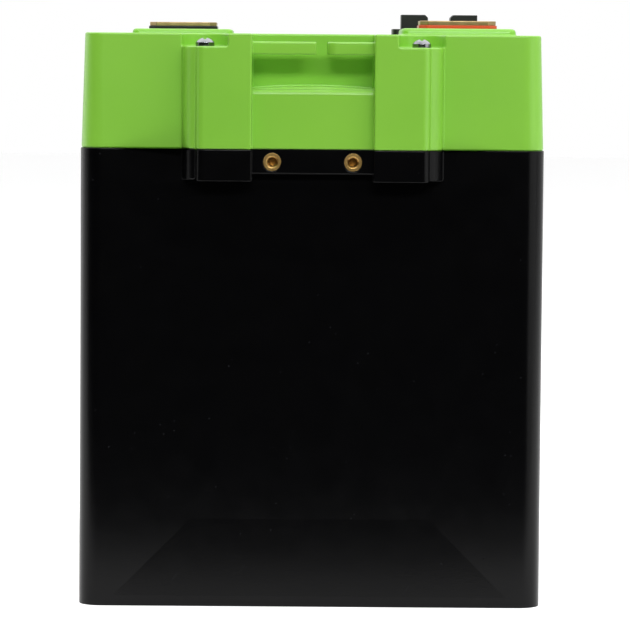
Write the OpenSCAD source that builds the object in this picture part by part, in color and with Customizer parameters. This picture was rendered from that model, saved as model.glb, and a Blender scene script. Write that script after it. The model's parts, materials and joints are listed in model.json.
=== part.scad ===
// Lithium battery pack for a deep-cycle battery tray.
// Frame: origin on the ground under the middle of the case, X across, Y along, Z up.
// The end with the positive terminal faces -Y. All sizes are in millimetres.

/* [Overall] */
// Width of the case over its long sides
case_w = 173; // [150:1:210]
// Length over the screw blocks at both ends
overall_l = 306; // [270:1:370]
// Height of the case from the ground to the seam
case_h = 171.2; // [150:0.1:210]
// Height of the lid from the seam to its flat top
lid_h = 42.8; // [38:0.1:52]
// Radius of the four upright corners
corner_r = 8.5; // [7:0.5:12]

/* [Case] */
// Wall thickness of the case
wall_t = 3.5; // [3:0.1:4.2]
// Thickness of the case's floor
floor_t = 4; // [3:0.5:6]
// Depth of the shallow panel sunk into each wall
panel_depth = 0.8; // [0.4:0.1:1.2]
// Width of the slope that runs round each panel
panel_slope = 29; // [15:1:35]
// Distance from a panel's edge to the side of the wall that it is in
panel_side_gap = 13; // [10:1:20]
// Distance from a panel's edge to the ground
panel_bottom_gap = 4; // [2:1:12]
// Distance from a panel's edge up to the seam
panel_top_gap = 12.5; // [12:0.5:25]

/* [Lid] */
// How far the lid stands in from the case at the seam
lid_step = 0.25; // [0:0.05:0.6]
// How far each side of the lid leans in over its height
lid_lean = 1.25; // [0.5:0.05:2]
// Thickness of the lid's side walls at the top
lid_wall = 3; // [2.5:0.1:3.5]
// Thickness of the lid's flat top
lid_top_t = 3.5; // [3:0.1:4.5]
// Thickness of the lip that locates the lid in the case
lip_t = 1.8; // [1.5:0.1:2.5]
// Height of the lip below the seam
lip_h = 4; // [2:0.5:6]
// Gap between the lip and the case
lip_gap = 0.3; // [0.2:0.05:0.6]
// Width and height of the seam gasket
gasket_s = 1.2; // [0.8:0.1:1.4]

/* [End blocks] */
// How far the screw blocks stand out from the end wall
block_out = 9.5; // [8:0.1:12]
// Distance from the middle to a block's inner face
block_in = 22.7; // [20:0.1:26]
// Width of a block
block_w = 20.7; // [18:0.1:24]
// Radius of a block's outer upright edge
block_edge_r = 3.1; // [1:0.1:4]
// How far a block runs down the case below the seam
block_drop = 11.8; // [9:0.1:12]
// Distance from the middle to a lid screw
boss_x = 40.2; // [38:0.1:44]
// Distance of a lid screw in from the end wall's face
boss_inset = 1; // [0:0.1:2]
// Radius of a lid screw's boss
boss_r = 8.3; // [7.5:0.1:8.6]
// Radius of the notch above a lid screw
notch_r = 8.65; // [8.6:0.05:9.5]
// Depth of the notch below the lid's top
notch_depth = 4.8; // [4:0.1:7]

/* [Strap pockets] */
// How far the panel between the blocks stands out from the end wall
shelf_out = 4.9; // [4:0.1:6]
// Depth of the shelf below the lid's top
shelf_drop = 20.5; // [16:0.1:24]
// Radius along the shelf's front edge
shelf_edge_r = 2.1; // [1:0.1:3]
// Rise of the pocket's floor in its middle
shelf_crown = 1; // [0.5:0.1:1.5]
// How far the pocket reaches in behind the end wall's face
pocket_depth = 10.5; // [9:0.1:14]
// Thickness of the pocket's walls
pocket_wall = 3; // [2.5:0.1:4]
// Distance from the lid's top down to the strap bars
bar_drop = 2.9; // [2:0.1:4]
// Height of the strap bars
bar_h = 4.8; // [4:0.1:6]
// Thickness of the strap bars
bar_t = 5.5; // [4:0.1:6]
// Gap between the two strap bars
bar_gap = 3.9; // [3:0.1:6]
// Distance from the middle to the start of the gap
bar_gap_x = 1.2; // [0:0.1:4]
// Radius on the end of the shorter bar
bar_end_r = 3.5; // [1:0.1:4]
// How far the strip with the threaded inserts runs below the seam
strip_drop = 8.9; // [8.8:0.1:10]

/* [Threaded inserts] */
// Distance between the two inserts in an end
insert_pitch = 30; // [26:0.5:34]
// Depth of the inserts' axis below the seam
insert_drop = 4.6; // [4.5:0.1:5]
// Outer radius of an insert
insert_r = 3.3; // [2.8:0.05:3.4]
// Radius of the M4 thread's bore
insert_bore_r = 1.65; // [1.6:0.01:1.8]
// Length of an insert
insert_l = 8; // [6:0.5:9]
// Radius of the boss inside the wall behind an insert
insert_boss_r = 4.4; // [4:0.1:4.5]

/* [Terminals] */
// Distance from the case's side to a terminal's axis
term_inset_x = 31.9; // [30:0.1:36]
// Distance from the end wall's face to a terminal's axis
term_inset_y = 37.5; // [36:0.5:50]
// Side of the raised pad under a terminal
pad_s = 43; // [40:0.5:44]
// Height of the pad above the lid
pad_h = 2.5; // [2:0.1:4]
// Chamfer along the pad's top edge
pad_chamfer = 0.9; // [0.3:0.1:1.2]
// Side of the coloured collar
collar_s = 29.4; // [28:0.1:33]
// Thickness of the coloured collar
collar_t = 1.2; // [0.8:0.1:2]
// Side of the terminal plate
plate_s = 28.6; // [26:0.1:30]
// Thickness of the terminal plate
plate_t = 1.7; // [1.5:0.1:3]
// Chamfer on a terminal's upright corners
plate_corner = 3; // [2:0.1:4]
// Radius of the terminal's neck through the lid
neck_r = 9; // [8:0.1:9.5]
// Radius of the M8 thread's bore
term_bore_r = 3.4; // [3.3:0.01:3.6]
// Depth of the M8 thread below its countersink
term_bore_l = 13.4; // [10:0.1:14]
// Radius of the stud under the lid
stud_r = 5; // [4.6:0.1:5.5]
// Radial clearance round a terminal's neck and studs
term_gap = 0.3; // [0.2:0.05:0.5]

/* [Comms port] */
// Distance from the case's side to the port's middle
comms_inset_x = 31.9; // [30:0.1:36]
// Distance from the rear end wall's face to the port's middle
comms_inset_y = 67.5; // [60:0.5:80]
// Width of the port's base plate
comms_w = 39.6; // [38:0.1:44]
// Length of the port's base plate
comms_l = 26; // [24:0.5:32]
// Thickness of the port's base plate
comms_t = 3; // [2.5:0.1:4]
// Distance between the two sockets
socket_pitch = 20.9; // [20:0.1:24]
// Width of a dust cap
cap_w = 11.3; // [10.8:0.1:12]
// Length of a dust cap
cap_l = 15; // [14.5:0.1:17]
// Height of a dust cap
cap_h = 6.1; // [5.8:0.1:9]
// Thickness of a dust cap's walls
cap_wall = 1.05; // [0.9:0.05:1.2]
// Thickness of a dust cap's top
cap_top_t = 1.8; // [1.2:0.1:2]
// Gap between a dust cap and its socket
cap_gap = 0.3; // [0.3:0.05:0.5]
// Thickness of a socket's walls
socket_wall = 1.5; // [1.2:0.1:1.6]

/* [Cells] */
// Height of a cell's can
cell_h = 118.5; // [105:0.5:125]
// Gap between a cell and the side wall of the case
cell_side_gap = 3; // [2.5:0.1:5]
// Thickness of the foam at each end of the stack
foam_t = 29.5; // [20:0.5:32]
// Thickness of an end plate
end_plate_t = 8; // [6:0.5:10]
// Thickness of the insulating sheets between the cells
sheet_t = 1; // [0.5:0.1:2]
// Thickness of the pad under the cells
base_pad_t = 3; // [2:0.5:5]
// Distance from the middle to a cell's poles
pole_x = 34; // [30:0.5:38]

/* [Electronics] */
// Height of the electronics tray above the cells
tray_lift = 14.5; // [13.5:0.5:18]
// Gap between the circuit board and the case's side walls
board_side_gap = 23; // [20:1:30]
// Length of the circuit board
board_l = 120; // [116:1:130]
// Thickness of the copper bars
copper_t = 2.5; // [2:0.1:3]
// Width of the copper bars
copper_w = 20; // [18:0.5:22]

/* [Hidden] */

$fn = 64;

// Colours
BLACK = "#17181a";
GREEN = "#82c341";
GOLD = "#c9a34a";
ZINC = "#c8ccd2";
COPPER = "#b8733f";
BLUE = "#2d5f9e";

// Cuts run this far past the faces that they open
over = 1;

// Levels and walls
wall_l = overall_l - 2 * block_out;
end_y = wall_l / 2;
case_in_w = case_w - 2 * wall_t;
case_in_l = wall_l - 2 * wall_t;
lid_in_w = case_w - 2 * (lid_step + lid_lean + lid_wall);
lid_in_l = wall_l - 2 * (lid_step + lid_lean + lid_wall);
lid_z = case_h + lid_h;
lid_under_z = lid_z - lid_top_t;
shelf_z = lid_z - shelf_drop;
notch_z = lid_z - notch_depth;
bar_z = lid_z - bar_drop - bar_h;
boss_y = end_y - boss_inset;

// Lid screws: a pan head on a long shank that ends in the case's boss
screw_r = 2;
screw_head_r = 3.5;
screw_head_h = 3.2;
screw_rim_h = 1.4;
screw_tip_depth = 8;
screw_slot_w = 1.1;
screw_slot_l = 4.2;
screw_slot_h = 1.7;
lid_hole_gap = 0.3;
thread_gap = 0.05;
pilot_extra = 1;
notch_floor_t = 3;
notch_wall = 2;
boss_foot_gap = 0.6;

// Inserts: blind, with a short lead-in at the mouth
insert_lead = 0.6;
insert_end_t = 1.2;

// Gasket line: it runs along the wall and turns in round the screws
gasket_line = 1.3;
gasket_screw_r = 3;
gasket_gap = 0.05;

// Terminals
pad_z = lid_z + pad_h;
collar_z = pad_z + collar_t;
plate_z = collar_z + plate_t;
pad_corner_r = 3;
term_x = case_w / 2 - term_inset_x;
term_y = end_y - term_inset_y;
term_boss_r = 13;
term_boss_h = 8.5;
neck_short = 0.5;
term_sink = 0.6;
washer_r = 11.5;
washer_t = 1.5;
term_nut_flat = 16;
term_nut_h = 6.5;
lower_nut_h = 5;
stud_extra = 1.5;
ring_cord_r = 0.73;
ring_slack = 0.05;
term_under_z = lid_z - term_boss_h;
bar_top_z = term_under_z - washer_t - term_nut_h;

// Comms port
comms_x = case_w / 2 - comms_inset_x;
comms_y = end_y - comms_inset_y;
comms_z = lid_z + comms_t;
comms_corner_r = 2;
comms_body_w = 34;
comms_body_l = 18;
comms_body_h = 8;
comms_body_gap = 0.3;
comms_gasket_t = 0.8;
comms_gasket_edge = 1.3;
socket_w = cap_w - 2 * (cap_wall + cap_gap);
socket_l = cap_l - 2 * (cap_wall + cap_gap);
socket_h = cap_h - cap_top_t - cap_gap;
socket_depth = 5;
cap_bevel = 1.2;
contact_s = 0.8;
contact_gap = 0.05;
contact_up = 2.5;
contact_cover = 1;
contact_rows = [-3, -1, 1, 3];
comms_screw_y = 7;
comms_screw_r = 1.5;
comms_screw_l = 8;
comms_screw_head_r = 2.75;
comms_screw_head_h = 2;
comms_slot_l = 3;
comms_slot_w = 0.8;
comms_slot_h = 1.1;

// Cell stack
cells = 4;
cell_r = 2;
cell_w = case_in_w - 2 * cell_side_gap;
cell_t = (case_in_l - 2 * foam_t - 2 * end_plate_t - (cells + 1) * sheet_t) / cells;
cell_pitch = cell_t + sheet_t;
cell_z = floor_t + base_pad_t;
cell_top_z = cell_z + cell_h;
stack_l = cells * cell_pitch + sheet_t;
pole_r = 7;
pole_h = 3;
pole_z = cell_top_z + pole_h;
pole_stud_r = 3;
pole_stud_h = 9;
pole_gap = 0.3;
pole_nut_flat = 10;
pole_nut_h = 5;
vent_r = 9;
vent_h = 0.6;
band_w = 12;
band_t = 0.6;
band_gap = 0.2;
band_corner_r = 3;
band_heights = [0.28, 0.78];
end_plate_rib = 10;
end_plate_skin = 3;
base_pad_gap = 1;

// Electronics
tray_t = 3;
tray_z = cell_top_z + tray_lift;
tray_edge = 5;
leg_r = 5;
leg_edge = 10;
leg_y = 40;
standoff_h = 6;
standoff_r = 4;
board_t = 1.6;
board_w = case_in_w - 2 * board_side_gap;
board_z = tray_z + tray_t + standoff_h;
board_top_z = board_z + board_t;
board_screw_r = 1.5;
board_screw_gap = 0.1;
board_screw_head_r = 2.75;
board_screw_head_h = 2;
board_screw_edge = 5;
board_screw_rear = 24;
chip_l = 9;
chip_w = 10;
chip_h = 4.5;
chip_columns = [-2, -1, 0, 1, 2];
chip_rows = [-25, 5];
sink_edge = 5;
sink_l = 60;
sink_base_t = 4;
sink_fins = 9;
sink_fin_t = 2;
sink_fin_h = 12;
sink_y = -10;
joint_edge = 6;
riser_gap = 2;
joint_y = board_l / 2 - joint_edge;
joint_l = 16;
riser_y = board_l / 2 + riser_gap;
bar_hole_r = pole_stud_r + pole_gap;
bolt_head_flat = 10;
bolt_head_h = 4;
plug_edge = 8;
plug_y = -board_l / 2 + plug_edge;
plug_h = 10;
plug_l = 8;
sense_plug_w = 20;
comms_plug_w = 14;
comms_plug_x = 30;
wire_r = 0.7;
wire_step = 3;
wire_lift = 1.2;
elbow_extra = 0.15;
sheath_s = 4;
sheath_lift = 9;

// ---------- shared shapes ----------

// A flat rounded rectangle centred on the origin
module round_rect(w, l, r) {
    square([w - 2 * r, l], center = true);
    square([w, l - 2 * r], center = true);
    for (sx = [-1, 1])
        for (sy = [-1, 1])
            translate([sx * (w / 2 - r), sy * (l / 2 - r)])
                circle(r);
}

// A rounded block whose four sides lean in by lean over its height
module leaning_block(w, l, h, r, lean) {
    rotate([90, 0, 0])
        linear_extrude(l - 2 * r, center = true)
            polygon([[-w / 2, 0], [w / 2, 0], [w / 2 - lean, h], [-w / 2 + lean, h]]);
    rotate([90, 0, 90])
        linear_extrude(w - 2 * r, center = true)
            polygon([[-l / 2, 0], [l / 2, 0], [l / 2 - lean, h], [-l / 2 + lean, h]]);
    for (sx = [-1, 1])
        for (sy = [-1, 1])
            translate([sx * (w / 2 - r), sy * (l / 2 - r), 0])
                cylinder(h = h, r1 = r, r2 = r - lean);
}

// A square with its corners cut off
module cut_square(s, c) {
    h = s / 2;
    polygon([
        [-h + c, -h], [h - c, -h], [h, -h + c], [h, h - c],
        [h - c, h], [-h + c, h], [-h, h - c], [-h, -h + c]
    ]);
}

// A hexagon that measures flat across its flats
module hexagon(flat) {
    circle(r = flat / 2 / cos(30), $fn = 6);
}

// Repeats its children at both ends of the pack
module both_ends() {
    for (turn = [0, 180])
        rotate([0, 0, turn])
            children();
}

// Repeats its children at the left and the right of the front end
module both_sides() {
    for (side = [0, 1])
        mirror([side, 0, 0])
            children();
}

// Repeats its children at the four lid screws
module at_screws() {
    both_ends()
        for (sx = [-1, 1])
            translate([sx * boss_x, -boss_y, 0])
                children();
}

// Puts its children at the positive and the negative terminal
module at_terminals() {
    both_ends()
        translate([term_x, -term_y, 0])
            children();
}

// A straight round rod between two points
module rod(a, b, r) {
    run = b - a;
    translate(a)
        rotate([0, acos(run[2] / norm(run)), atan2(run[1], run[0])])
            cylinder(h = norm(run), r = r);
}

// A round wire along a list of points, with a square sleeve at each right-angled turn
module wire(points, r) {
    for (i = [1 : len(points) - 1])
        rod(points[i - 1], points[i], r);
    for (i = [1 : len(points) - 2])
        translate(points[i])
            cube(2 * (r + elbow_extra), center = true);
}

// ---------- case ----------

// A shallow panel with four mitred slopes, cut into a wall that faces -Y
module panel_cut(w, h) {
    past = 0.25;
    wide = w / 2 + panel_slope * past;
    narrow = w / 2 - panel_slope;
    out = -panel_depth * past;
    intersection() {
        linear_extrude(h + panel_slope, center = true)
            polygon([[-wide, out], [wide, out], [narrow, panel_depth], [-narrow, panel_depth]]);
        rotate([90, 0, 90])
            linear_extrude(w + panel_slope, center = true)
                polygon([
                    [out, -h / 2 - panel_slope * past], [out, h / 2 + panel_slope * past],
                    [panel_depth, h / 2 - panel_slope], [panel_depth, -h / 2 + panel_slope]
                ]);
    }
}

// The four panels of the case
module panel_cuts() {
    h = case_h - panel_top_gap - panel_bottom_gap;
    z = panel_bottom_gap + h / 2;
    both_ends() {
        translate([0, -end_y, z])
            panel_cut(case_w - 2 * panel_side_gap, h);
        rotate([0, 0, 90])
            translate([0, -case_w / 2, z])
                panel_cut(wall_l - 2 * panel_side_gap, h);
    }
}

// Plan outline of the right-hand block at the front end
module block_outline(inner_y) {
    depth = overall_l / 2 - inner_y;
    translate([block_in, -overall_l / 2]) {
        square([block_w - block_edge_r, depth]);
        translate([0, block_edge_r])
            square([block_w, depth - block_edge_r]);
        translate([block_w - block_edge_r, block_edge_r])
            circle(block_edge_r);
    }
}

module case() {
    strip_l = shelf_out + wall_t;
    color(BLACK)
    difference() {
        union() {
            difference() {
                linear_extrude(case_h)
                    round_rect(case_w, wall_l, corner_r);
                translate([0, 0, floor_t])
                    linear_extrude(case_h)
                        round_rect(case_in_w, case_in_l, corner_r - wall_t);
                panel_cuts();
            }
            both_ends() {
                both_sides()
                    translate([0, 0, case_h - block_drop])
                        linear_extrude(block_drop)
                            block_outline(case_in_l / 2);
                translate([-block_in, -end_y - shelf_out, case_h - strip_drop])
                    cube([2 * block_in, strip_l, strip_drop]);
                for (sx = [-1, 1])
                    translate([sx * insert_pitch / 2, -case_in_l / 2, case_h - insert_drop])
                        rotate([90, 0, 0])
                            translate([0, 0, -insert_boss_r])
                                cylinder(h = insert_boss_r + wall_t / 2, r = insert_boss_r);
            }
            at_screws()
                translate([0, 0, case_h - block_drop + boss_foot_gap])
                    cylinder(h = block_drop - boss_foot_gap, r = boss_r);
        }
        at_screws()
            translate([0, 0, case_h - screw_tip_depth - pilot_extra])
                cylinder(h = screw_tip_depth + pilot_extra + over, r = screw_r + thread_gap);
        both_ends()
            for (sx = [-1, 1])
                translate([sx * insert_pitch / 2, -end_y - shelf_out - over, case_h - insert_drop])
                    rotate([-90, 0, 0])
                        cylinder(h = insert_l + over, r = insert_r + thread_gap);
    }
}

module end_inserts() {
    color(GOLD)
    for (sx = [-1, 1])
        translate([sx * insert_pitch / 2, -end_y - shelf_out, case_h - insert_drop])
            rotate([-90, 0, 0])
                difference() {
                    cylinder(h = insert_l, r = insert_r);
                    cylinder(h = insert_l - insert_end_t, r = insert_bore_r);
                    translate([0, 0, -over])
                        cylinder(
                            h = insert_lead + over,
                            r1 = insert_bore_r + insert_lead + over, r2 = insert_bore_r
                        );
                }
}

// ---------- lid ----------

// Plan outline at a distance in from the case's outside, kept clear of the screws
module gasket_outline(inset) {
    difference() {
        round_rect(case_w - 2 * inset, wall_l - 2 * inset, corner_r - inset);
        at_screws()
            circle(gasket_screw_r + inset);
    }
}

module gasket_ring(slack) {
    linear_extrude(gasket_s + slack)
        difference() {
            gasket_outline(gasket_line - slack);
            gasket_outline(gasket_line + gasket_s + slack);
        }
}

// The wall of the lid between the blocks, with its rounded front edge
module shelf() {
    h = shelf_z - case_h;
    depth = end_y + shelf_out - lid_in_l / 2;
    translate([0, -end_y - shelf_out, case_h])
        rotate([90, 0, 90])
            linear_extrude(2 * block_in, center = true)
                difference() {
                    square([depth, h]);
                    translate([0, h - shelf_edge_r])
                        difference() {
                            translate([-over, 0])
                                square([shelf_edge_r + over, shelf_edge_r + over]);
                            translate([shelf_edge_r, 0])
                                circle(shelf_edge_r);
                        }
                }
}

// Floor, back and sides of the pocket behind the strap bars
module pocket_liner() {
    back = end_y - pocket_depth - pocket_wall;
    z = shelf_z - pocket_wall;
    translate([-block_in - pocket_wall, -lid_in_l / 2 - over, z])
        cube([2 * (block_in + pocket_wall), lid_in_l / 2 + over - back, lid_z - z]);
}

module pocket_cut() {
    depth = block_out + pocket_depth + over;
    translate([-block_in, -overall_l / 2 - over, shelf_z])
        cube([2 * block_in, depth, shelf_drop + over]);
}

// The slightly raised middle of the pocket's floor
module pocket_crown() {
    r = (pow(block_in, 2) + pow(shelf_crown, 2)) / (2 * shelf_crown);
    depth = pocket_depth + shelf_out - shelf_edge_r;
    intersection() {
        translate([-block_in, -end_y + pocket_depth - depth, shelf_z - pocket_wall / 2])
            cube([2 * block_in, depth, pocket_wall]);
        translate([0, -end_y + pocket_depth + over, shelf_z + shelf_crown - r])
            rotate([90, 0, 0])
                cylinder(h = depth + 2 * over, r = r, $fn = 720);
    }
}

// The two bars across the pocket's mouth, with the gap that a strap slips through
module strap_bars() {
    long_end = bar_gap_x;
    short_end = bar_gap_x + bar_gap;
    translate([0, -end_y - shelf_out, bar_z])
        linear_extrude(bar_h) {
            translate([-block_in - over, 0])
                square([block_in + over + long_end, bar_t]);
            translate([short_end + bar_end_r, 0])
                square([block_in + over - short_end - bar_end_r, bar_t]);
            translate([short_end, bar_end_r])
                square([bar_end_r + over, bar_t - bar_end_r]);
            translate([short_end + bar_end_r, bar_end_r])
                circle(bar_end_r);
        }
}

// The notch that lets a screwdriver down to a lid screw
module notch_cut() {
    translate([0, 0, notch_z]) {
        cylinder(h = notch_depth + over, r = notch_r);
        translate([-notch_r, -notch_r - block_out, 0])
            cube([2 * notch_r, notch_r + block_out, notch_depth + over]);
    }
}

// The lid's outer walls without anything on them
module lid_block() {
    translate([0, 0, case_h])
        leaning_block(
            case_w - 2 * lid_step, wall_l - 2 * lid_step, lid_h, corner_r - lid_step, lid_lean
        );
}

module lid_shell() {
    difference() {
        lid_block();
        translate([0, 0, case_h - over])
            linear_extrude(lid_h - lid_top_t + over)
                round_rect(lid_in_w, lid_in_l, corner_r - lid_wall);
    }
}

module lid_lip() {
    w = case_in_w - 2 * lip_gap;
    l = case_in_l - 2 * lip_gap;
    r = corner_r - wall_t;
    reach = boss_x + boss_r + 2 * lip_gap;
    translate([0, 0, case_h - lip_h])
        linear_extrude(2 * lip_h)
            difference() {
                round_rect(w, l, r);
                round_rect(w - 2 * lip_t, l - 2 * lip_t, r - lip_t);
                square([2 * reach, wall_l], center = true);
            }
}

module lid() {
    port_w = comms_body_w + 2 * comms_body_gap;
    port_l = comms_body_l + 2 * comms_body_gap;
    color(GREEN)
    difference() {
        union() {
            difference() {
                union() {
                    lid_shell();
                    both_ends() {
                        both_sides()
                            translate([0, 0, case_h])
                                linear_extrude(lid_h)
                                    block_outline(lid_in_l / 2);
                        shelf();
                        pocket_liner();
                    }
                    at_screws()
                        translate([0, 0, case_h])
                            cylinder(h = lid_h, r = boss_r);
                    intersection() {
                        lid_block();
                        at_screws()
                            translate([0, 0, notch_z - notch_floor_t])
                                cylinder(h = lid_h, r = notch_r + notch_wall);
                    }
                }
                both_ends()
                    pocket_cut();
                at_screws()
                    notch_cut();
            }
            both_ends() {
                strap_bars();
                pocket_crown();
            }
            lid_lip();
            at_terminals() {
                translate([0, 0, lid_z - lid_top_t / 2])
                    linear_extrude(pad_h - pad_chamfer + lid_top_t / 2)
                        round_rect(pad_s, pad_s, pad_corner_r);
                translate([0, 0, pad_z - pad_chamfer])
                    leaning_block(pad_s, pad_s, pad_chamfer, pad_corner_r, pad_chamfer);
                translate([0, 0, term_under_z])
                    cylinder(h = term_boss_h, r = term_boss_r);
            }
        }
        at_screws()
            translate([0, 0, case_h - over])
                cylinder(h = lid_h, r = screw_r + lid_hole_gap);
        at_terminals() {
            translate([0, 0, term_under_z - over])
                cylinder(h = term_boss_h + pad_h + 2 * over, r = neck_r + term_gap);
            translate([0, 0, pad_z - 2 * (ring_cord_r + ring_slack)])
                cylinder(h = pad_h, r = neck_r + term_gap + 2 * (ring_cord_r + ring_slack));
        }
        translate([comms_x, comms_y, 0]) {
            translate([-port_w / 2, -port_l / 2, lid_under_z - over])
                cube([port_w, port_l, lid_top_t + 2 * over]);
            translate([0, 0, lid_z - comms_gasket_t])
                linear_extrude(comms_gasket_t + over)
                    round_rect(
                        comms_w - 2 * comms_gasket_edge, comms_l - 2 * comms_gasket_edge,
                        comms_corner_r
                    );
        }
        translate([0, 0, case_h])
            gasket_ring(gasket_gap);
    }
}

module lid_gasket() {
    color("#2b2b2b")
    translate([0, 0, case_h])
        gasket_ring(0);
}

module lid_screw() {
    dome_h = screw_head_h - screw_rim_h;
    dome_r = (pow(screw_head_r, 2) + pow(dome_h, 2)) / (2 * dome_h);
    difference() {
        union() {
            translate([0, 0, case_h - screw_tip_depth])
                cylinder(h = notch_z - case_h + screw_tip_depth, r = screw_r);
            translate([0, 0, notch_z]) {
                cylinder(h = screw_rim_h, r = screw_head_r);
                intersection() {
                    cylinder(h = screw_head_h + over, r = screw_head_r);
                    translate([0, 0, screw_head_h - dome_r])
                        sphere(dome_r);
                    translate([0, 0, screw_rim_h / 2])
                        cylinder(h = screw_head_h, r = screw_head_r);
                }
            }
        }
        for (turn = [0, 90])
            rotate([0, 0, turn])
                translate([0, 0, notch_z + screw_head_h])
                    cube([screw_slot_l, screw_slot_w, 2 * screw_slot_h], center = true);
    }
}

module lid_screws() {
    color(ZINC)
    at_screws()
        lid_screw();
}

// ---------- terminals ----------

module terminal() {
    neck_z = term_under_z + neck_short;
    stud_z = bar_top_z - copper_t - lower_nut_h - stud_extra;
    color(GOLD)
    difference() {
        union() {
            translate([0, 0, collar_z])
                linear_extrude(plate_t)
                    cut_square(plate_s, plate_corner);
            translate([0, 0, neck_z])
                cylinder(h = plate_z - neck_z - plate_t / 2, r = neck_r);
            translate([0, 0, stud_z])
                cylinder(h = neck_z - stud_z + over, r = stud_r);
        }
        translate([0, 0, plate_z - term_sink - term_bore_l])
            cylinder(h = term_bore_l + over, r = term_bore_r);
        translate([0, 0, plate_z - term_sink])
            cylinder(h = term_sink + over, r1 = term_bore_r, r2 = term_bore_r + term_sink + over);
    }
}

module collar(paint) {
    color(paint)
    translate([0, 0, pad_z])
        linear_extrude(collar_t)
            difference() {
                cut_square(collar_s, plate_corner);
                circle(neck_r + term_gap);
            }
}

module positive_place() {
    translate([term_x, -term_y, 0])
        children();
}

module negative_place() {
    translate([-term_x, term_y, 0])
        children();
}

module terminal_o_rings() {
    color("#1d1d1d")
    at_terminals()
        translate([0, 0, pad_z - ring_cord_r - ring_slack])
            rotate_extrude()
                translate([neck_r + term_gap + ring_cord_r + ring_slack, 0])
                    circle(ring_cord_r);
}

module terminal_washers() {
    color(ZINC)
    at_terminals()
        translate([0, 0, term_under_z - washer_t])
            difference() {
                cylinder(h = washer_t, r = washer_r);
                translate([0, 0, -over])
                    cylinder(h = washer_t + 2 * over, r = stud_r + term_gap);
            }
}

module terminal_nuts() {
    color(GOLD)
    at_terminals()
        for (nut = [[bar_top_z, term_nut_h], [bar_top_z - copper_t - lower_nut_h, lower_nut_h]])
            translate([0, 0, nut[0]])
                difference() {
                    linear_extrude(nut[1])
                        hexagon(term_nut_flat);
                    translate([0, 0, -over])
                        cylinder(h = nut[1] + 2 * over, r = stud_r + thread_gap);
                }
}

// ---------- comms port ----------

module at_port() {
    translate([comms_x, comms_y, 0])
        children();
}

module at_sockets() {
    at_port()
        for (sx = [-1, 1])
            translate([sx * socket_pitch / 2, 0, 0])
                children();
}

module contact_pins(extra) {
    s = contact_s + 2 * extra;
    z = lid_z - comms_body_h + contact_cover;
    for (x = [-1, 1])
        for (y = contact_rows)
            translate([x - s / 2, y - s / 2, z])
                cube([s, s, lid_z - socket_depth + contact_up - z]);
}

module comms_base() {
    body_z = lid_z - comms_body_h;
    color(BLACK)
    difference() {
        union() {
            at_port() {
                translate([0, 0, lid_z])
                    linear_extrude(comms_t)
                        round_rect(comms_w, comms_l, comms_corner_r);
                translate([-comms_body_w / 2, -comms_body_l / 2, body_z])
                    cube([comms_body_w, comms_body_l, comms_body_h + comms_t / 2]);
            }
            at_sockets()
                translate([-socket_w / 2, -socket_l / 2, lid_z])
                    cube([socket_w, socket_l, comms_t + socket_h]);
        }
        at_sockets() {
            translate([-socket_w / 2 + socket_wall, -socket_l / 2 + socket_wall, lid_z - socket_depth])
                cube([
                    socket_w - 2 * socket_wall, socket_l - 2 * socket_wall,
                    socket_depth + comms_t + socket_h + over
                ]);
            contact_pins(contact_gap);
        }
        at_port()
            for (sy = [-1, 1])
                translate([0, sy * comms_screw_y, comms_z - comms_screw_l - over])
                    cylinder(h = comms_screw_l + 2 * over, r = comms_screw_r + thread_gap);
    }
}

module comms_gasket() {
    slack = 0.2;
    color("#2b2b2b")
    at_port()
        translate([0, 0, lid_z - comms_gasket_t])
            linear_extrude(comms_gasket_t)
                difference() {
                    round_rect(
                        comms_w - 2 * (comms_gasket_edge + slack),
                        comms_l - 2 * (comms_gasket_edge + slack), comms_corner_r
                    );
                    square([comms_body_w + 2 * slack, comms_body_l + 2 * slack], center = true);
                }
}

module comms_contacts() {
    color(GOLD)
    at_sockets()
        contact_pins(0);
}

module comms_screws() {
    color(ZINC)
    at_port()
        for (sy = [-1, 1])
            translate([0, sy * comms_screw_y, comms_z])
                difference() {
                    union() {
                        translate([0, 0, -comms_screw_l])
                            cylinder(h = comms_screw_l + over, r = comms_screw_r);
                        cylinder(h = comms_screw_head_h, r = comms_screw_head_r);
                    }
                    for (turn = [0, 90])
                        rotate([0, 0, turn])
                            translate([0, 0, comms_screw_head_h])
                                cube([comms_slot_l, comms_slot_w, 2 * comms_slot_h], center = true);
                }
}

// A push-on dust cap; the top edge on the side that faces its neighbour is bevelled
module comms_cap(side) {
    half = cap_w / 2;
    color("#1b1c1e")
    at_port()
        translate([side * socket_pitch / 2, 0, comms_z])
            difference() {
                mirror([side > 0 ? 1 : 0, 0, 0])
                    rotate([90, 0, 0])
                        linear_extrude(cap_l, center = true)
                            polygon([
                                [-half, 0], [half, 0], [half, cap_h - cap_bevel],
                                [half - cap_bevel, cap_h], [-half, cap_h]
                            ]);
                translate([-half + cap_wall, -cap_l / 2 + cap_wall, -over])
                    cube([cap_w - 2 * cap_wall, cap_l - 2 * cap_wall, cap_h - cap_top_t + over]);
            }
}

// ---------- cells ----------

// Middle of cell number i, counted from the front
function cell_y(i) = (i - (cells + 1) / 2) * cell_pitch;

// The positive pole of cells 1 and 3 is on the right, of 2 and 4 on the left
function plus_side(i) = i % 2 == 1 ? 1 : -1;

module cell(i) {
    color(BLUE)
    translate([0, cell_y(i), cell_z]) {
        difference() {
            linear_extrude(cell_h)
                round_rect(cell_w, cell_t, cell_r);
            translate([0, 0, cell_h - vent_h])
                cylinder(h = vent_h + over, r = vent_r);
        }
        for (sx = [-1, 1])
            translate([sx * pole_x, 0, cell_h - over]) {
                cylinder(h = pole_h + over, r = pole_r);
                cylinder(h = pole_h + pole_stud_h + over, r = pole_stud_r);
            }
    }
}

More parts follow.
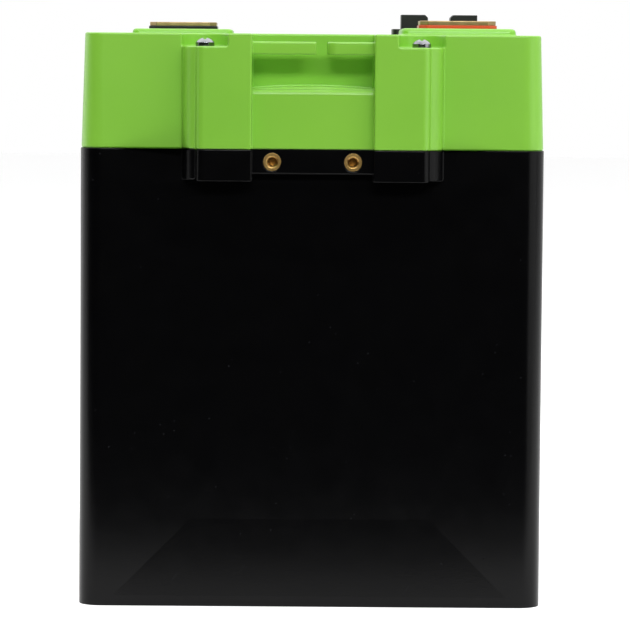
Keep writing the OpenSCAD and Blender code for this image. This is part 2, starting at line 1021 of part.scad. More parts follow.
module cell_sheets() {
    color("#d9c27a")
    for (i = [0 : cells])
        translate([-cell_w / 2, (i - cells / 2) * cell_pitch - sheet_t / 2, cell_z])
            cube([cell_w, sheet_t, cell_h]);
}

module base_pad() {
    color("#3a3c3f")
    translate([-case_in_w / 2 + base_pad_gap, -stack_l / 2, floor_t])
        cube([case_in_w - 2 * base_pad_gap, stack_l, base_pad_t]);
}

// The plate that squeezes the front of the stack, ribbed on its outer side
module end_plate() {
    bay_w = (cell_w - 4 * end_plate_rib) / 3;
    bay_h = cell_h - 2 * end_plate_rib;
    y = -stack_l / 2 - end_plate_t;
    color("#b9bdc2")
    difference() {
        translate([-cell_w / 2, y, cell_z])
            cube([cell_w, end_plate_t, cell_h]);
        for (i = [0 : 2])
            translate([
                -cell_w / 2 + end_plate_rib + i * (bay_w + end_plate_rib),
                y - over, cell_z + end_plate_rib
            ])
                cube([bay_w, end_plate_t - end_plate_skin + over, bay_h]);
    }
}

module compression_bands() {
    w = cell_w + 2 * band_gap;
    l = stack_l + 2 * (end_plate_t + band_gap);
    color(ZINC)
    for (share = band_heights)
        translate([0, 0, cell_z + share * cell_h - band_w / 2])
            linear_extrude(band_w)
                difference() {
                    round_rect(w + 2 * band_t, l + 2 * band_t, band_corner_r + band_t);
                    square([w, l], center = true);
                }
}

module end_foam() {
    gap = band_gap + band_t + band_gap;
    w = min(cell_w, case_in_w - 2 * (corner_r - wall_t));
    color("#4a4d52")
    translate([-w / 2, -case_in_l / 2, floor_t])
        cube([w, foam_t - gap, cell_h]);
}

// The bar that joins the negative pole of cell i to the positive pole of the next
module cell_link(i) {
    x = -plus_side(i) * pole_x;
    end_r = copper_w / 2;
    color(COPPER)
    translate([x, 0, pole_z])
        linear_extrude(copper_t)
            difference() {
                union() {
                    translate([-end_r, cell_y(i)])
                        square([copper_w, cell_pitch]);
                    for (k = [i, i + 1])
                        translate([0, cell_y(k)])
                            circle(end_r);
                }
                for (k = [i, i + 1])
                    translate([0, cell_y(k)])
                        circle(bar_hole_r);
            }
}

module pole_nuts() {
    color(ZINC)
    for (i = [1 : cells])
        for (sx = [-1, 1])
            translate([sx * pole_x, cell_y(i), pole_z + copper_t])
                linear_extrude(pole_nut_h)
                    difference() {
                        hexagon(pole_nut_flat);
                        circle(pole_stud_r + thread_gap);
                    }
}

// ---------- copper bars ----------

// From the first cell's positive pole, along and up to the positive terminal
module positive_bar() {
    x0 = pole_x - copper_w / 2;
    x1 = max(term_x, pole_x) + copper_w / 2;
    tall_x = term_x - copper_w / 2;
    back = cell_y(1) + copper_w / 2;
    front = cell_y(1) - copper_w / 2 - copper_t;
    top_front = -term_y - copper_w / 2;
    color(COPPER)
    difference() {
        union() {
            translate([x0, front, pole_z])
                cube([x1 - x0, back - front, copper_t]);
            translate([tall_x, front, pole_z])
                cube([copper_w, copper_t, bar_top_z - pole_z]);
            translate([tall_x, min(top_front, front), bar_top_z - copper_t])
                cube([copper_w, abs(front - top_front) + copper_w, copper_t]);
        }
        translate([pole_x, cell_y(1), pole_z - over])
            cylinder(h = copper_t + 2 * over, r = bar_hole_r);
        translate([term_x, -term_y, bar_top_z - copper_t - over])
            cylinder(h = copper_t + 2 * over, r = stud_r + term_gap);
    }
}

// From the last cell's negative pole up to the circuit board
module board_bar() {
    x = pole_x - copper_w / 2;
    back = cell_y(cells) + copper_w / 2;
    color(COPPER)
    difference() {
        union() {
            translate([x, riser_y, pole_z])
                cube([copper_w, back - riser_y, copper_t]);
            translate([x, riser_y, pole_z])
                cube([copper_w, copper_t, board_top_z + copper_t - pole_z]);
            translate([x, joint_y - joint_l / 2, board_top_z])
                cube([copper_w, riser_y + copper_t - joint_y + joint_l / 2, copper_t]);
        }
        translate([pole_x, cell_y(cells), pole_z - over])
            cylinder(h = copper_t + 2 * over, r = bar_hole_r);
        translate([pole_x, joint_y, board_top_z - over])
            cylinder(h = copper_t + 2 * over, r = bar_hole_r);
    }
}

// From the circuit board up and back to the negative terminal
module negative_bar() {
    low_x = -max(term_x, pole_x) - copper_w / 2;
    low_w = max(term_x, pole_x) - pole_x + copper_w;
    tall_x = -term_x - copper_w / 2;
    color(COPPER)
    difference() {
        union() {
            translate([low_x, joint_y - joint_l / 2, board_top_z])
                cube([low_w, riser_y + copper_t - joint_y + joint_l / 2, copper_t]);
            translate([tall_x, riser_y, board_top_z])
                cube([copper_w, copper_t, bar_top_z - board_top_z]);
            translate([tall_x, riser_y, bar_top_z - copper_t])
                cube([copper_w, term_y + copper_w / 2 - riser_y, copper_t]);
        }
        translate([-pole_x, joint_y, board_top_z - over])
            cylinder(h = copper_t + 2 * over, r = bar_hole_r);
        translate([-term_x, term_y, bar_top_z - copper_t - over])
            cylinder(h = copper_t + 2 * over, r = stud_r + term_gap);
    }
}

module bar_bolts() {
    color(ZINC)
    for (sx = [-1, 1])
        translate([sx * pole_x, joint_y, board_top_z + copper_t]) {
            linear_extrude(bolt_head_h)
                hexagon(bolt_head_flat);
            translate([0, 0, -copper_t - board_t - standoff_h])
                cylinder(h = copper_t + board_t + standoff_h + over, r = pole_stud_r);
        }
}

// ---------- electronics ----------

// Places of the circuit board's screws
function board_screw_places() = [
    for (sx = [-1, 1])
        for (y = [-board_l / 2 + board_screw_edge, board_l / 2 - board_screw_rear])
            [sx * (board_w / 2 - board_screw_edge), y]
];

module bms_tray() {
    w = board_w + 2 * tray_edge;
    l = board_l - 2 * tray_edge;
    color("#e8e6df")
    difference() {
        union() {
            translate([-w / 2, -board_l / 2, tray_z])
                cube([w, board_l, tray_t]);
            for (sx = [-1, 1])
                for (sy = [-1, 1])
                    translate([sx * (cell_w / 2 - leg_edge - tray_edge), sy * leg_y, cell_top_z])
                        cylinder(h = tray_z - cell_top_z + over, r = leg_r);
            for (p = board_screw_places())
                translate([p[0], p[1], tray_z])
                    cylinder(h = tray_t + standoff_h, r = standoff_r);
            for (sx = [-1, 1])
                translate([sx * pole_x, joint_y, tray_z])
                    cylinder(h = tray_t + standoff_h, r = copper_w / 2 - joint_l / 4);
        }
        for (p = board_screw_places())
            translate([p[0], p[1], board_z - standoff_h])
                cylinder(h = standoff_h + over, r = board_screw_r + thread_gap);
        for (sx = [-1, 1])
            translate([sx * pole_x, joint_y, board_z - standoff_h])
                cylinder(h = standoff_h + over, r = pole_stud_r + thread_gap);
    }
}

module bms_board() {
    color("#1f5c36")
    translate([0, 0, board_z])
        linear_extrude(board_t)
            difference() {
                square([board_w, board_l], center = true);
                for (p = board_screw_places())
                    translate(p)
                        circle(board_screw_r + board_screw_gap);
                for (sx = [-1, 1])
                    translate([sx * pole_x, joint_y])
                        circle(bar_hole_r);
            }
}

module board_screws() {
    color(ZINC)
    for (p = board_screw_places())
        translate([p[0], p[1], board_top_z]) {
            cylinder(h = board_screw_head_h, r = board_screw_head_r);
            translate([0, 0, -board_t - standoff_h + over])
                cylinder(h = board_t + standoff_h, r = board_screw_r);
        }
}

module bms_transistors() {
    pitch = board_w / 6;
    color("#26282b")
    for (column = chip_columns)
        for (y = chip_rows)
            translate([column * pitch - chip_w / 2, y - chip_l / 2, board_top_z])
                cube([chip_w, chip_l, chip_h]);
}

module bms_heat_sink() {
    w = board_w - 2 * sink_edge;
    z = board_top_z + chip_h;
    fin_step = (sink_l - sink_fin_t) / (sink_fins - 1);
    color("#9aa0a6")
    translate([-w / 2, sink_y - sink_l / 2, z]) {
        cube([w, sink_l, sink_base_t]);
        for (i = [0 : sink_fins - 1])
            translate([0, i * fin_step, 0])
                cube([w, sink_fin_t, sink_base_t + sink_fin_h]);
    }
}

module bms_connectors() {
    rim = 1.2;
    color("#f0efe8")
    for (plug = [[0, sense_plug_w], [comms_plug_x, comms_plug_w]])
        translate([plug[0] - plug[1] / 2, plug_y - plug_l / 2, board_top_z])
            difference() {
                cube([plug[1], plug_l, plug_h]);
                translate([rim, rim, plug_h / 2])
                    cube([plug[1] - 2 * rim, plug_l - 2 * rim, plug_h]);
            }
}

// One sense wire from a stud's top, forward over the cells, and up to its plug
function sense_route(x, y, lane, turn_y, plug_x, level) = [
    [x, y, pole_z + pole_stud_h],
    [x, y, pole_z + pole_stud_h + wire_lift],
    [lane, y, pole_z + pole_stud_h + wire_lift],
    [lane, turn_y, pole_z + pole_stud_h + wire_lift],
    [lane, turn_y, level],
    [plug_x, turn_y, level],
    [plug_x, plug_y, level],
    [plug_x, plug_y, board_top_z + plug_h / 2]
];

module sense_harness() {
    turn_y = -board_l / 2 - 2 * wire_step;
    level = board_top_z + plug_h + wire_step;
    right = pole_x + 2 * wire_step;
    left = -pole_x - 2 * wire_step;
    taps = [
        [pole_x, cell_y(1), right, 0],
        [-pole_x, cell_y(2), left, 1],
        [pole_x, cell_y(3), right + wire_step, 2],
        [-pole_x, cell_y(4), left - wire_step, 3],
        [pole_x, cell_y(4), right + 2 * wire_step, 4]
    ];
    color("#b03a3a")
    for (tap = taps)
        wire(
            sense_route(
                tap[0], tap[1], tap[2], turn_y - tap[3] * wire_step / 2,
                (tap[3] - 2) * wire_step, level + tap[3] * wire_step
            ),
            wire_r
        );
}

// A square sleeve of wires from the port down to its plug on the board
module comms_harness() {
    high = board_top_z + chip_h + sink_base_t + sink_fin_h + sheath_lift;
    low = board_top_z + plug_h / 2 + over;
    s = sheath_s;
    color("#2a2a2c") {
        translate([comms_x - s / 2, comms_y - s / 2, high])
            cube([s, s, lid_z - comms_body_h - over - high]);
        translate([comms_x - s / 2, plug_y - s / 2, high])
            cube([s, comms_y - plug_y + s, s]);
        translate([min(comms_plug_x, comms_x) - s / 2, plug_y - s / 2, high])
            cube([abs(comms_x - comms_plug_x) + s, s, s]);
        translate([comms_plug_x - s / 2, plug_y - s / 2, low])
            cube([s, s, high - low + s]);
    }
}

// ---------- assembly ----------

case();
lid();
lid_gasket();
lid_screws();
end_inserts();  // front_inserts
rotate([0, 0, 180]) end_inserts();  // rear_inserts
positive_place() terminal();  // positive_terminal
negative_place() terminal();  // negative_terminal
positive_place() collar("#d8322a");  // positive_collar
negative_place() collar(BLACK);  // negative_collar
terminal_o_rings();
terminal_washers();
terminal_nuts();
comms_base();
comms_gasket();
comms_contacts();
comms_screws();
comms_cap(-1);  // comms_cap_1
comms_cap(1);  // comms_cap_2
base_pad();
cell(1);  // cell_1
cell(2);  // cell_2
cell(3);  // cell_3
cell(4);  // cell_4
cell_sheets();
end_plate();  // front_end_plate
rotate([0, 0, 180]) end_plate();  // rear_end_plate
compression_bands();
end_foam();  // front_foam
rotate([0, 0, 180]) end_foam();  // rear_foam
cell_link(1);  // cell_link_1
cell_link(2);  // cell_link_2
cell_link(3);  // cell_link_3
pole_nuts();
positive_bar();
negative_bar();
board_bar();
bar_bolts();
bms_tray();
bms_board();
board_screws();
bms_transistors();
bms_heat_sink();
bms_connectors();
sense_harness();
comms_harness();
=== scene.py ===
import json
import math

import bmesh
import bpy
from mathutils import Matrix, Vector


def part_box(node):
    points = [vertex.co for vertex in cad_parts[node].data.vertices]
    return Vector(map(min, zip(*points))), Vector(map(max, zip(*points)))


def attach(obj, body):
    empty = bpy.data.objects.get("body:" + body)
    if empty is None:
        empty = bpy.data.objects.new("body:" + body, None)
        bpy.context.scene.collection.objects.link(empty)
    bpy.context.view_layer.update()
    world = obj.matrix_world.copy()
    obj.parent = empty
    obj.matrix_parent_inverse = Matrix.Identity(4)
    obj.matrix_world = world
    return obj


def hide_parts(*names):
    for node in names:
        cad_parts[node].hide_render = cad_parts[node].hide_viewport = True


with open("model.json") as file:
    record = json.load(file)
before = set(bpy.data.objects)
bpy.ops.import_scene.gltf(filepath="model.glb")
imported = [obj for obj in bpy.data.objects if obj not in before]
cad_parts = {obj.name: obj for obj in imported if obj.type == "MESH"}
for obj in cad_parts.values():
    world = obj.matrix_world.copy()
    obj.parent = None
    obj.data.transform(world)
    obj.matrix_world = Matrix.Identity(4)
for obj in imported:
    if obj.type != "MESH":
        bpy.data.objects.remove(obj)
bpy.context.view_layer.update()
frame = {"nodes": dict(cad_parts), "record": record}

MM = 0.001

# ---------- places, all worked out from the frame ----------

CASE_LOW, CASE_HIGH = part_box("case")
FRONT_Y = CASE_LOW.y
GROUND_Z = CASE_LOW.z
SEAM_Z = CASE_HIGH.z
TOP_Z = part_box("lid")[1].z
MIDDLE_Z = (GROUND_Z + TOP_Z) / 2


# ---------- camera ----------

def make_camera():
    """A long lens just below the height of the lid's top, tipped slightly down at the front."""
    back, left, below_top = 1.4662, 0.0092, 0.00695
    yaw, pitch, roll = math.radians(0.411), math.radians(3.875), math.radians(0.463)
    lens_mm, sensor_mm = 226.9, 36
    nearest, farthest = 0.05, 50
    data = bpy.data.cameras.new("camera")
    data.lens = lens_mm
    data.sensor_width = sensor_mm
    data.clip_start = nearest
    data.clip_end = farthest
    camera = bpy.data.objects.new("camera", data)
    bpy.context.scene.collection.objects.link(camera)
    camera.location = (-left, FRONT_Y - back, TOP_Z - below_top)
    turn = Matrix.Rotation(-yaw, 4, "Z") @ Matrix.Rotation(math.radians(90) - pitch, 4, "X")
    turn = turn @ Matrix.Rotation(roll, 4, "Z")
    camera.rotation_euler = turn.to_euler()
    bpy.context.scene.camera = camera


# ---------- shader nodes ----------

# The Mix node has a set of sockets for each kind of data; these are the colour ones
MIX_FIRST, MIX_SECOND, MIX_RESULT = 6, 7, 2

# Most of a noise texture's values are in the narrow range, and nearly all are in the wide one
NOISE_NARROW = (0.35, 0.65)
NOISE_WIDE = (0.3, 0.7)

ZERO_TO_ONE = (0.0, 1.0)
ONE_TO_ZERO = (1.0, 0.0)


def feed(tree, value, socket):
    """Joins an output to a socket, or sets the socket to a fixed value."""
    if isinstance(value, bpy.types.NodeSocket):
        tree.links.new(value, socket)
    elif socket.type == "RGBA":
        socket.default_value = (*value, 1)
    else:
        socket.default_value = value


def add_node(tree, kind, **inputs):
    """A new shader node with its inputs fed; _ stands for the space in an input's name."""
    node = tree.nodes.new("ShaderNode" + kind)
    for name, value in inputs.items():
        feed(tree, value, node.inputs[name.replace("_", " ")])
    return node


def add_range(tree, value, span, to):
    """A Map Range node that brings value from span to the range to, with no overshoot."""
    return add_node(
        tree, "MapRange", Value=value,
        From_Min=span[0], From_Max=span[1], To_Min=to[0], To_Max=to[1],
    )


class Recipe:
    """A material under construction, with short calls for the nodes that the finishes use."""

    def __init__(self, name):
        self.material = bpy.data.materials.new(name)
        self.material.use_nodes = True
        self.tree = self.material.node_tree
        self.place = add_node(self.tree, "TexCoord").outputs["Object"]

    def mapped(self, scale, turn=(0, 0, 0)):
        """Object coordinates, turned and then scaled along each axis."""
        divisors = [1 / s for s in scale]
        node = add_node(self.tree, "Mapping", Vector=self.place, Rotation=turn, Scale=divisors)
        node.vector_type = "TEXTURE"
        return node.outputs["Vector"]

    def noise(self, size, detail=2.0, vector=None, rough=0.5):
        """Noise whose lumps are about size metres wide."""
        node = add_node(
            self.tree, "TexNoise", Vector=vector or self.place,
            Scale=1 / size, Detail=detail, Roughness=rough,
        )
        return node.outputs["Fac"]

    def cells(self, size, vector=None):
        """The distance to the nearest of many dots about size metres apart, as a share of it."""
        node = add_node(self.tree, "TexVoronoi", Vector=vector or self.place, Scale=1 / size)
        return node.outputs["Distance"]

    def height(self):
        """How high up the pack a point is."""
        return add_node(self.tree, "SeparateXYZ", Vector=self.place).outputs["Z"]

    def combined(self, operation, first, second):
        """Two numbers, each of them fixed or an output, put through a Math node."""
        node = add_node(self.tree, "Math")
        node.operation = operation
        feed(self.tree, first, node.inputs[0])
        feed(self.tree, second, node.inputs[1])
        return node.outputs[0]

    def times(self, first, second):
        return self.combined("MULTIPLY", first, second)

    def plus(self, first, second):
        return self.combined("ADD", first, second)

    def spread(self, value, span, to=ZERO_TO_ONE):
        """value brought from span to the range to, with no overshoot."""
        return add_range(self.tree, value, span, to).outputs["Result"]

    def blend(self, share, first, second):
        """A colour that goes from first to second with share; each is a colour or an output."""
        node = add_node(self.tree, "Mix")
        node.data_type = "RGBA"
        feed(self.tree, share, node.inputs["Factor"])
        feed(self.tree, first, node.inputs[MIX_FIRST])
        feed(self.tree, second, node.inputs[MIX_SECOND])
        return node.outputs[MIX_RESULT]

    def bump(self, height, depth, base=None):
        """A bump of depth metres, on top of an earlier one."""
        node = add_node(self.tree, "Bump", Strength=1.0, Distance=depth, Height=height)
        if base is not None:
            feed(self.tree, base, node.inputs["Normal"])
        return node.outputs["Normal"]

    def finish(self, colour, rough, normal=None, **others):
        """Gives the shader its values, varying or fixed, and returns the material."""
        inputs = self.tree.nodes["Principled BSDF"].inputs
        feed(self.tree, colour, inputs["Base Color"])
        feed(self.tree, rough, inputs["Roughness"])
        if normal is not None:
            feed(self.tree, normal, inputs["Normal"])
        for name, value in others.items():
            feed(self.tree, value, inputs[name.replace("_", " ")])
        return self.material


# ---------- materials ----------

def moulded_plastic(name, colour, deep, rough, grain, specular):
    """Injection-moulded plastic: fine spark-eroded grain, slow waves and a little tone change."""
    wave_depth, rough_change = 0.12 * MM, 0.015
    r = Recipe(name)
    fine = r.noise(size=0.45 * MM, detail=3)
    waves = r.noise(size=28 * MM, detail=1)
    tone = r.spread(r.noise(size=60 * MM, detail=3), NOISE_NARROW)
    gloss = r.noise(size=7 * MM, detail=4)
    return r.finish(
        r.blend(tone, deep, colour),
        r.spread(gloss, NOISE_WIDE, (rough - rough_change, rough + rough_change)),
        r.bump(fine, grain, r.bump(waves, wave_depth)),
        Specular_IOR_Level=specular,
    )


def case_plastic():
    """Satin black with fine grain, dust specks, and short slanting scuffs near the ground."""
    black, dust, scuffed = (0.0009, 0.0009, 0.0011), (0.03, 0.031, 0.034), (0.016, 0.016, 0.018)
    speck_edge, dusty = (0.05, 0.075), (0.56, 0.6)
    scuff_edge, scratched = (0.06, 0.11), (0.56, 0.62)
    scuff_slant, scuff_stretch = math.radians(38), (1.0, 1.0, 0.045)
    scuff_heights = (8 * MM, 26 * MM)
    wave_depth, grain_depth, scuff_depth = 0.03 * MM, 0.018 * MM, 0.01 * MM
    rough_range, specular = (0.22, 0.26), 0.16

    r = Recipe("case_plastic")
    dots = r.spread(r.cells(size=2.6 * MM), speck_edge, ONE_TO_ZERO)
    specks = r.times(dots, r.spread(r.noise(size=5 * MM), dusty))
    slanted = r.mapped(scuff_stretch, turn=(0, scuff_slant, 0))
    streaks = r.spread(r.cells(size=0.9 * MM, vector=slanted), scuff_edge, ONE_TO_ZERO)
    patches = r.spread(r.noise(size=11 * MM), scratched)
    low_down = r.spread(r.height(), scuff_heights, ONE_TO_ZERO)
    scuffs = r.times(r.times(streaks, patches), low_down)

    normal = r.bump(r.noise(size=30 * MM, detail=1), wave_depth)
    normal = r.bump(r.noise(size=0.5 * MM, detail=3), grain_depth, normal)
    normal = r.bump(scuffs, -scuff_depth, normal)
    colour = r.blend(scuffs, r.blend(specks, black, dust), scuffed)
    rough = r.spread(r.noise(size=9 * MM, detail=4), NOISE_WIDE, rough_range)
    return r.finish(colour, rough, normal, Specular_IOR_Level=specular)


def metal(name, colour, dull, rough, stain, lay=(1.0, 1.0, 1.0)):
    """Machined or plated metal with fine tool lines and patches of tarnish."""
    stained, stain_rough, line_depth = (0.45, 0.72), 0.16, 0.006 * MM
    r = Recipe(name)
    lines = r.noise(size=0.16 * MM, vector=r.mapped(lay))
    patches = r.spread(r.noise(size=3.5 * MM, detail=5, rough=0.65), stained)
    roughness = r.spread(patches, ZERO_TO_ONE, (rough, rough + stain_rough))
    colour = r.blend(r.times(patches, stain), colour, dull)
    return r.finish(colour, roughness, r.bump(lines, line_depth), Metallic=1.0)


def bare_brass():
    """Brass: bright in the inserts, and tarnished an even brown on the terminals above the lid."""
    bright, golden = (0.66, 0.43, 0.15), (0.50, 0.31, 0.10)
    brown, deep_brown = (0.46, 0.335, 0.17), (0.38, 0.27, 0.13)
    rough, grain = 0.36, 0.004 * MM
    r = Recipe("brass")
    fine = r.noise(size=0.3 * MM)
    patches = r.spread(r.noise(size=5 * MM, detail=3), NOISE_NARROW)
    handled = r.spread(r.height(), (SEAM_Z, TOP_Z))
    colour = r.blend(
        handled, r.blend(patches, bright, golden), r.blend(patches, brown, deep_brown)
    )
    return r.finish(colour, rough, r.bump(fine, grain), Metallic=1.0)


def soft_rubber(name, colour, pore):
    """Foam or rubber with open pores, pore metres apart."""
    rough, tone_size, pore_depth = 0.8, pore * 4, pore * 0.3
    lighter = tuple(min(1, c * 1.5 + 0.01) for c in colour)
    r = Recipe(name)
    pores = r.cells(size=pore)
    tone = r.spread(r.noise(size=tone_size, detail=4), NOISE_WIDE)
    return r.finish(r.blend(tone, colour, lighter), rough, r.bump(pores, pore_depth))


def wrap_film():
    """Blue film shrunk over a cell: glossy, with slow upright wrinkles."""
    blue, light_blue = (0.012, 0.07, 0.26), (0.02, 0.11, 0.36)
    rough, coat, wrinkle_depth, upright = 0.22, 0.3, 0.4 * MM, (1, 1, 0.25)
    r = Recipe("wrap_film")
    wrinkles = r.noise(size=14 * MM, detail=4, vector=r.mapped(upright))
    tone = r.spread(r.noise(size=40 * MM), NOISE_WIDE)
    colour = r.blend(tone, blue, light_blue)
    return r.finish(colour, rough, r.bump(wrinkles, wrinkle_depth), Coat_Weight=coat)


def laminate(name, first, second, thread, rough):
    """Glass cloth in resin: a crossed weave of threads, thread metres wide."""
    along_y, along_x, weave_depth = (1, 0.08, 1), (0.08, 1, 1), 0.02 * MM
    r = Recipe(name)
    warp = r.spread(r.noise(size=thread, vector=r.mapped(along_y)), NOISE_NARROW)
    weft = r.spread(r.noise(size=thread, vector=r.mapped(along_x)), NOISE_NARROW)
    weave = r.times(r.plus(warp, weft), 0.5)
    return r.finish(r.blend(weave, first, second), rough, r.bump(weave, weave_depth))


def make_materials():
    """One material for each slot of the record."""
    return {
        "case_black": case_plastic(),
        "lid_green": moulded_plastic(
            "lid_plastic", colour=(0.225, 0.535, 0.048), deep=(0.205, 0.505, 0.043),
            rough=0.31, grain=0.010 * MM, specular=0.5,
        ),
        "seal_rubber": soft_rubber("seal_rubber", colour=(0.012, 0.012, 0.013), pore=0.3 * MM),
        "zinc_steel": metal(
            "zinc_plate", colour=(0.28, 0.285, 0.30), dull=(0.10, 0.104, 0.115),
            rough=0.16, stain=0.9,
        ),
        "brass": bare_brass(),
        "collar_red": moulded_plastic(
            "red_plastic", colour=(0.74, 0.085, 0.022), deep=(0.66, 0.07, 0.018),
            rough=0.3, grain=0.006 * MM, specular=0.5,
        ),
        "collar_black": moulded_plastic(
            "black_gloss", colour=(0.006, 0.006, 0.007), deep=(0.004, 0.004, 0.005),
            rough=0.28, grain=0.006 * MM, specular=0.5,
        ),
        "port_black": moulded_plastic(
            "port_plastic", colour=(0.007, 0.0072, 0.008), deep=(0.005, 0.005, 0.006),
            rough=0.42, grain=0.015 * MM, specular=0.4,
        ),
        "cap_black": moulded_plastic(
            "cap_plastic", colour=(0.008, 0.008, 0.009), deep=(0.006, 0.006, 0.007),
            rough=0.42, grain=0.02 * MM, specular=0.3,
        ),
        "foam_grey": soft_rubber("foam", colour=(0.032, 0.034, 0.037), pore=1.1 * MM),
        "cell_blue": wrap_film(),
        "sheet_yellow": laminate(
            "glass_sheet", first=(0.52, 0.38, 0.12), second=(0.66, 0.52, 0.2),
            thread=0.8 * MM, rough=0.5,
        ),
        "plate_aluminium": metal(
            "milled_aluminium", colour=(0.76, 0.77, 0.79), dull=(0.6, 0.61, 0.63),
            rough=0.3, stain=0.2, lay=(0.05, 1, 1),
        ),
        "copper": metal(
            "copper", colour=(0.82, 0.42, 0.26), dull=(0.36, 0.17, 0.1),
            rough=0.28, stain=0.5, lay=(1, 0.06, 1),
        ),
        "tray_white": moulded_plastic(
            "nylon", colour=(0.74, 0.72, 0.66), deep=(0.68, 0.66, 0.6),
            rough=0.45, grain=0.01 * MM, specular=0.5,
        ),
        "board_green": laminate(
            "board", first=(0.006, 0.07, 0.028), second=(0.01, 0.1, 0.04),
            thread=0.7 * MM, rough=0.3,
        ),
        "chip_black": moulded_plastic(
            "chip_epoxy", colour=(0.012, 0.012, 0.013), deep=(0.009, 0.009, 0.01),
            rough=0.5, grain=0.02 * MM, specular=0.4,
        ),
        "wire_red": moulded_plastic(
            "red_insulation", colour=(0.5, 0.02, 0.02), deep=(0.42, 0.015, 0.015),
            rough=0.4, grain=0.004 * MM, specular=0.5,
        ),
        "wire_black": moulded_plastic(
            "black_sleeve", colour=(0.012, 0.012, 0.012), deep=(0.008, 0.008, 0.008),
            rough=0.5, grain=0.01 * MM, specular=0.5,
        ),
    }


def slot_of(node):
    """The record's material slot for a CAD node."""
    return next(s["material_slot"] for s in frame["record"]["subparts"] if s["node"] == node)


def body_with(node):
    """The CAD body that a node belongs to."""
    bodies = frame["record"]["behaviour"]["bodies"]
    return next(name for name, members in bodies.items() if node in members)


def paint(piece, material):
    piece.data.materials.clear()
    piece.data.materials.append(material)


# ---------- pieces ----------

# The edge radius of each part that shows
EDGE_RADII = {
    "case": 0.45 * MM,
    "lid": 0.7 * MM,
    "lid_screws": 0.12 * MM,
    "front_inserts": 0.08 * MM,
    "rear_inserts": 0.08 * MM,
    "positive_terminal": 0.25 * MM,
    "negative_terminal": 0.25 * MM,
    "positive_collar": 0.2 * MM,
    "negative_collar": 0.2 * MM,
    "comms_base": 0.25 * MM,
    "comms_screws": 0.1 * MM,
    "comms_cap_1": 0.3 * MM,
    "comms_cap_2": 0.3 * MM,
}

# These keep their full edge radius everywhere; on a small part it shrinks to fit
BROAD_PARTS = ("case", "lid")


def cleaned(mesh):
    """A CAD mesh with its split corners welded and its flat faces made whole again."""
    weld_gap, flat = 0.002 * MM, math.radians(0.3)
    bm = bmesh.new()
    bm.from_mesh(mesh)
    bmesh.ops.remove_doubles(bm, verts=bm.verts, dist=weld_gap)
    bmesh.ops.dissolve_limit(
        bm, angle_limit=flat, verts=bm.verts, edges=bm.edges, delimit=set()
    )
    return bm


def rounded(node, radius):
    """A copy of a CAD part whose sharp edges are rounded as a mould or a cutter leaves them."""
    segments, sharp = 3, math.radians(25)
    bm = cleaned(frame["nodes"][node].data)
    mesh = bpy.data.meshes.new(node + "_rounded")
    bm.to_mesh(mesh)
    bm.free()
    piece = bpy.data.objects.new(node + "_rounded", mesh)
    bpy.context.scene.collection.objects.link(piece)
    bevel = piece.modifiers.new("edges", "BEVEL")
    bevel.width = radius
    bevel.segments = segments
    bevel.limit_method = "ANGLE"
    bevel.angle_limit = sharp
    bevel.use_clamp_overlap = node not in BROAD_PARTS
    bevel.miter_outer = "MITER_ARC"
    settle(piece)
    mark_creases(piece.data)
    piece.modifiers.new("shading", "WEIGHTED_NORMAL").keep_sharp = True
    settle(piece)
    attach(piece, body_with(node))
    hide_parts(node)
    return piece


def settle(piece):
    """Applies a piece's modifiers."""
    bpy.context.view_layer.update()
    graph = bpy.context.evaluated_depsgraph_get()
    made = bpy.data.meshes.new_from_object(piece.evaluated_get(graph))
    piece.modifiers.clear()
    piece.data = made


def mark_creases(mesh):
    """Shades a mesh smooth, except at sharp turns and at the slight turns between broad faces."""
    sharp_turn, slight_turn = math.radians(40), math.radians(0.7)
    broad = 150 * MM * MM
    bm = bmesh.new()
    bm.from_mesh(mesh)
    for face in bm.faces:
        face.smooth = True
    for edge in bm.edges:
        if len(edge.link_faces) != 2:
            continue
        turn = edge.calc_face_angle(0)
        both_broad = all(face.calc_area() > broad for face in edge.link_faces)
        edge.smooth = turn < sharp_turn and not (both_broad and turn > slight_turn)
    bm.to_mesh(mesh)
    bm.free()


def make_pieces(materials):
    """Rounds the parts that show, and gives every part its finish."""
    for node, part in frame["nodes"].items():
        paint(part, materials[slot_of(node)])
        if node in EDGE_RADII:
            paint(rounded(node, EDGE_RADII[node]), materials[slot_of(node)])


# ---------- stage ----------

WHITE = (1, 1, 1)


def make_floor():
    """A plain pale sheet that the pack stands on; it ends a short way in front of the pack."""
    front_run, side_run, back_run = 0.125, 3.0, 6.0
    pale, paler, rough, glow = (0.86, 0.86, 0.86), (0.88, 0.88, 0.88), 0.7, 0.55
    near_y = FRONT_Y - front_run
    corners = [
        (-side_run, near_y, GROUND_Z), (side_run, near_y, GROUND_Z),
        (side_run, back_run, GROUND_Z), (-side_run, back_run, GROUND_Z),
    ]
    mesh = bpy.data.meshes.new("floor")
    mesh.from_pydata(corners, [], [(0, 1, 2, 3)])
    floor = bpy.data.objects.new("floor", mesh)
    bpy.context.scene.collection.objects.link(floor)
    r = Recipe("floor_paper")
    paper = r.blend(r.spread(r.noise(size=0.4), NOISE_WIDE), pale, paler)
    paint(floor, r.finish(paper, rough, Emission_Color=WHITE, Emission_Strength=glow))


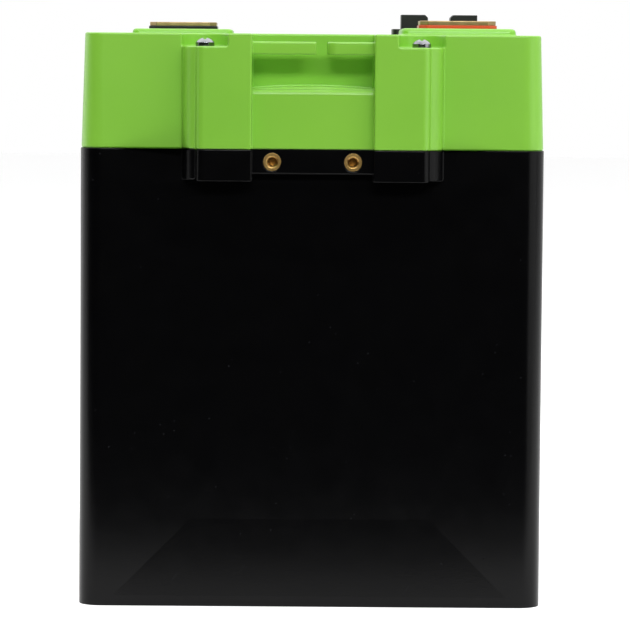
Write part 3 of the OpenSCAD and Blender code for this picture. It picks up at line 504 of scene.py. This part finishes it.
def soft_light(name, place, aim, size, watts):
    """A rectangular light at place, turned towards aim; its size is its width and height."""
    data = bpy.data.lights.new(name, "AREA")
    data.shape = "RECTANGLE"
    data.size, data.size_y = size
    data.energy = watts
    light = bpy.data.objects.new(name, data)
    bpy.context.scene.collection.objects.link(light)
    light.location = place
    light.rotation_euler = (Vector(aim) - Vector(place)).to_track_quat("-Z", "Y").to_euler()


def make_surround():
    """White to the camera; to the pack, a white room behind it that fades to a dark one in front.

    The fade goes by the y part of a ray's direction, which is negative towards the camera.
    """
    dark, white, fade_range = 0.02, 0.78, (-0.35, 0.2)
    world = bpy.data.worlds.new("surround")
    world.use_nodes = True
    tree = world.node_tree
    ray = add_node(tree, "TexCoord").outputs["Generated"]
    ray_y = add_node(tree, "SeparateXYZ", Vector=ray).outputs["Y"]
    fade = add_range(tree, ray_y, fade_range, (dark, white))
    fade.interpolation_type = "SMOOTHSTEP"
    room, mix = tree.nodes["Background"], add_node(tree, "MixShader")
    feed(tree, WHITE, room.inputs["Color"])
    feed(tree, fade.outputs["Result"], room.inputs["Strength"])
    seen = add_node(tree, "Background", Color=WHITE, Strength=1.0)
    to_camera = add_node(tree, "LightPath").outputs["Is Camera Ray"]
    for value, socket in zip((to_camera, room.outputs[0], seen.outputs[0]), mix.inputs):
        feed(tree, value, socket)
    feed(tree, mix.outputs[0], tree.nodes["World Output"].inputs["Surface"])
    bpy.context.scene.world = world


def make_lights():
    """Two long lights over the camera, a card at each side and a broad light overhead."""
    front_face, front_rim = (0, FRONT_Y, MIDDLE_Z), (0, FRONT_Y, TOP_Z)
    behind = 0.55
    soft_light(
        "front", place=(0.22, FRONT_Y - 1.3, 0.92), aim=front_face, size=(1.2, 0.25), watts=15.8
    )
    soft_light(
        "strip", place=(0.1, FRONT_Y - 0.65, 1.3), aim=front_rim, size=(1.6, 0.3), watts=6
    )
    soft_light(
        "right_card", place=(1.5, FRONT_Y - 0.75, 0.45), aim=front_face, size=(1.2, 1.2), watts=6
    )
    soft_light(
        "left_card", place=(-1.6, 0.9, 0.4), aim=front_face, size=(1.2, 1.2), watts=4
    )
    soft_light(
        "overhead", place=(0, behind, 1.35), aim=(0, behind, TOP_Z), size=(3.4, 2.4), watts=32
    )


make_camera()
make_pieces(make_materials())
make_floor()
make_lights()
make_surround()
bpy.context.scene.view_settings.view_transform = "Standard"
